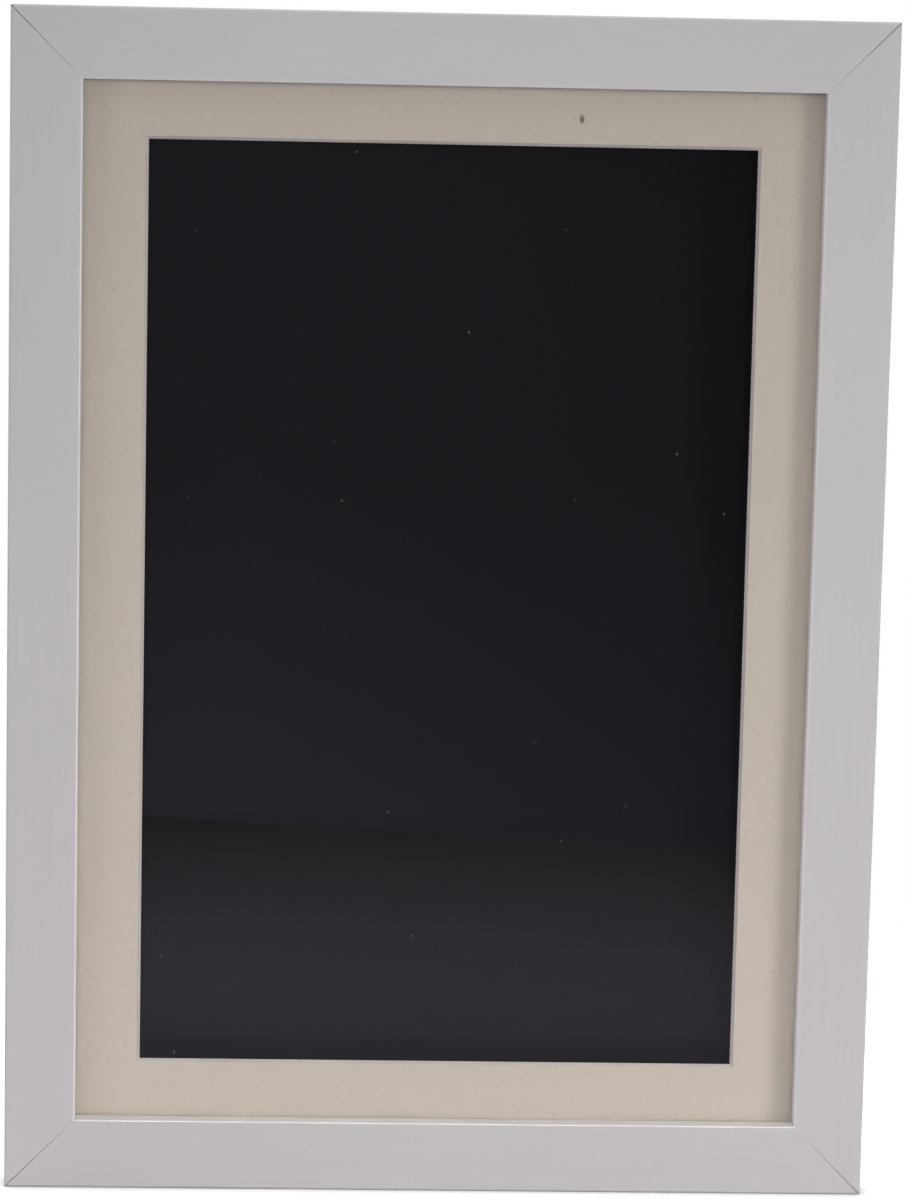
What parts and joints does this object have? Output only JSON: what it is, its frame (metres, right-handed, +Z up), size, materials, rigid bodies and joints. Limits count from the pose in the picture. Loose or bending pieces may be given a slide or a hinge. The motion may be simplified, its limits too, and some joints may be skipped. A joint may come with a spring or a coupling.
{
  "type": "front-opening children's art frame",
  "caption": "Wall-hung rectangular picture frame with a bevelled mat and clear pane in a hinged door, over a shallow tray that stores sheets of children's art.",
  "frame": {"origin": "on the wall plane, where the nail for the upright hanger comes out of the wall, at the middle notch of that hanger", "axes": "+X to the viewer's right, +Y into the wall, +Z up"},
  "size_m": [0.42, 0.0415, 0.572],
  "materials": {
    "silver_foil": "satin silver foil wrapped round a wood core",
    "black_paint": "satin black paint on fibreboard",
    "black_board": "black hardboard",
    "cream_mat": "matt cream paper face on a pale core",
    "clear_acrylic": "clear polished acrylic",
    "clear_film": "thin clear film, slightly hazy",
    "nickel_steel": "nickel-plated steel",
    "zinc_steel": "zinc-plated steel",
    "magnet": "bright nickel plate",
    "black_elastic": "woven black elastic",
    "bumper_rubber": "matt black rubber"
  },
  "bodies": {
    "tray": {"tray_top_rail": "black_paint", "tray_bottom_rail": "black_paint", "tray_left_stile": "black_paint", "tray_right_stile": "black_paint", "back_panel": "black_board", "backing_film": "clear_film", "strap_left": "black_elastic", "strap_right": "black_elastic", "strap_staple_top_left": "zinc_steel", "strap_staple_top_right": "zinc_steel", "strap_staple_bottom_left": "zinc_steel", "strap_staple_bottom_right": "zinc_steel", "hinge_upper_tray_leaf": "nickel_steel", "hinge_lower_tray_leaf": "nickel_steel", "hinge_upper_pin": "nickel_steel", "hinge_lower_pin": "nickel_steel", "hinge_upper_tray_screw_upper": "nickel_steel", "hinge_upper_tray_screw_lower": "nickel_steel", "hinge_lower_tray_screw_upper": "nickel_steel", "hinge_lower_tray_screw_lower": "nickel_steel", "magnet_upper": "magnet", "magnet_lower": "magnet", "hanger_upright": "zinc_steel", "hanger_sideways": "zinc_steel", "hanger_nail_upright_left": "zinc_steel", "hanger_nail_upright_right": "zinc_steel", "hanger_nail_sideways_upper": "zinc_steel", "hanger_nail_sideways_lower": "zinc_steel", "bumper_top_left": "bumper_rubber", "bumper_top_right": "bumper_rubber", "bumper_bottom_left": "bumper_rubber", "bumper_bottom_right": "bumper_rubber"},
    "door": {"door_top_rail": "silver_foil", "door_bottom_rail": "silver_foil", "door_left_stile": "silver_foil", "door_right_stile": "silver_foil", "glazing": "clear_acrylic", "mat_board": "cream_mat", "mat_point_top_left": "zinc_steel", "mat_point_top_right": "zinc_steel", "mat_point_right_upper": "zinc_steel", "mat_point_right_lower": "zinc_steel", "mat_point_bottom_left": "zinc_steel", "mat_point_bottom_right": "zinc_steel", "mat_point_left_upper": "zinc_steel", "mat_point_left_lower": "zinc_steel", "corner_wedge_top_left": "zinc_steel", "corner_wedge_top_right": "zinc_steel", "corner_wedge_bottom_right": "zinc_steel", "corner_wedge_bottom_left": "zinc_steel", "strike_disc_upper": "zinc_steel", "strike_disc_lower": "zinc_steel", "strike_screw_upper": "zinc_steel", "strike_screw_lower": "zinc_steel", "hinge_upper_door_leaf": "nickel_steel", "hinge_lower_door_leaf": "nickel_steel", "hinge_upper_door_screw_upper": "nickel_steel", "hinge_upper_door_screw_lower": "nickel_steel", "hinge_lower_door_screw_upper": "nickel_steel", "hinge_lower_door_screw_lower": "nickel_steel"}
  },
  "joints": [
    {"name": "door_swing", "type": "hinge", "parent": "tray", "child": "door", "pos_m": [-0.204, -0.0251, -0.2508], "axis": [0, 0, -1], "range_deg": [0, 105]}
  ]
}
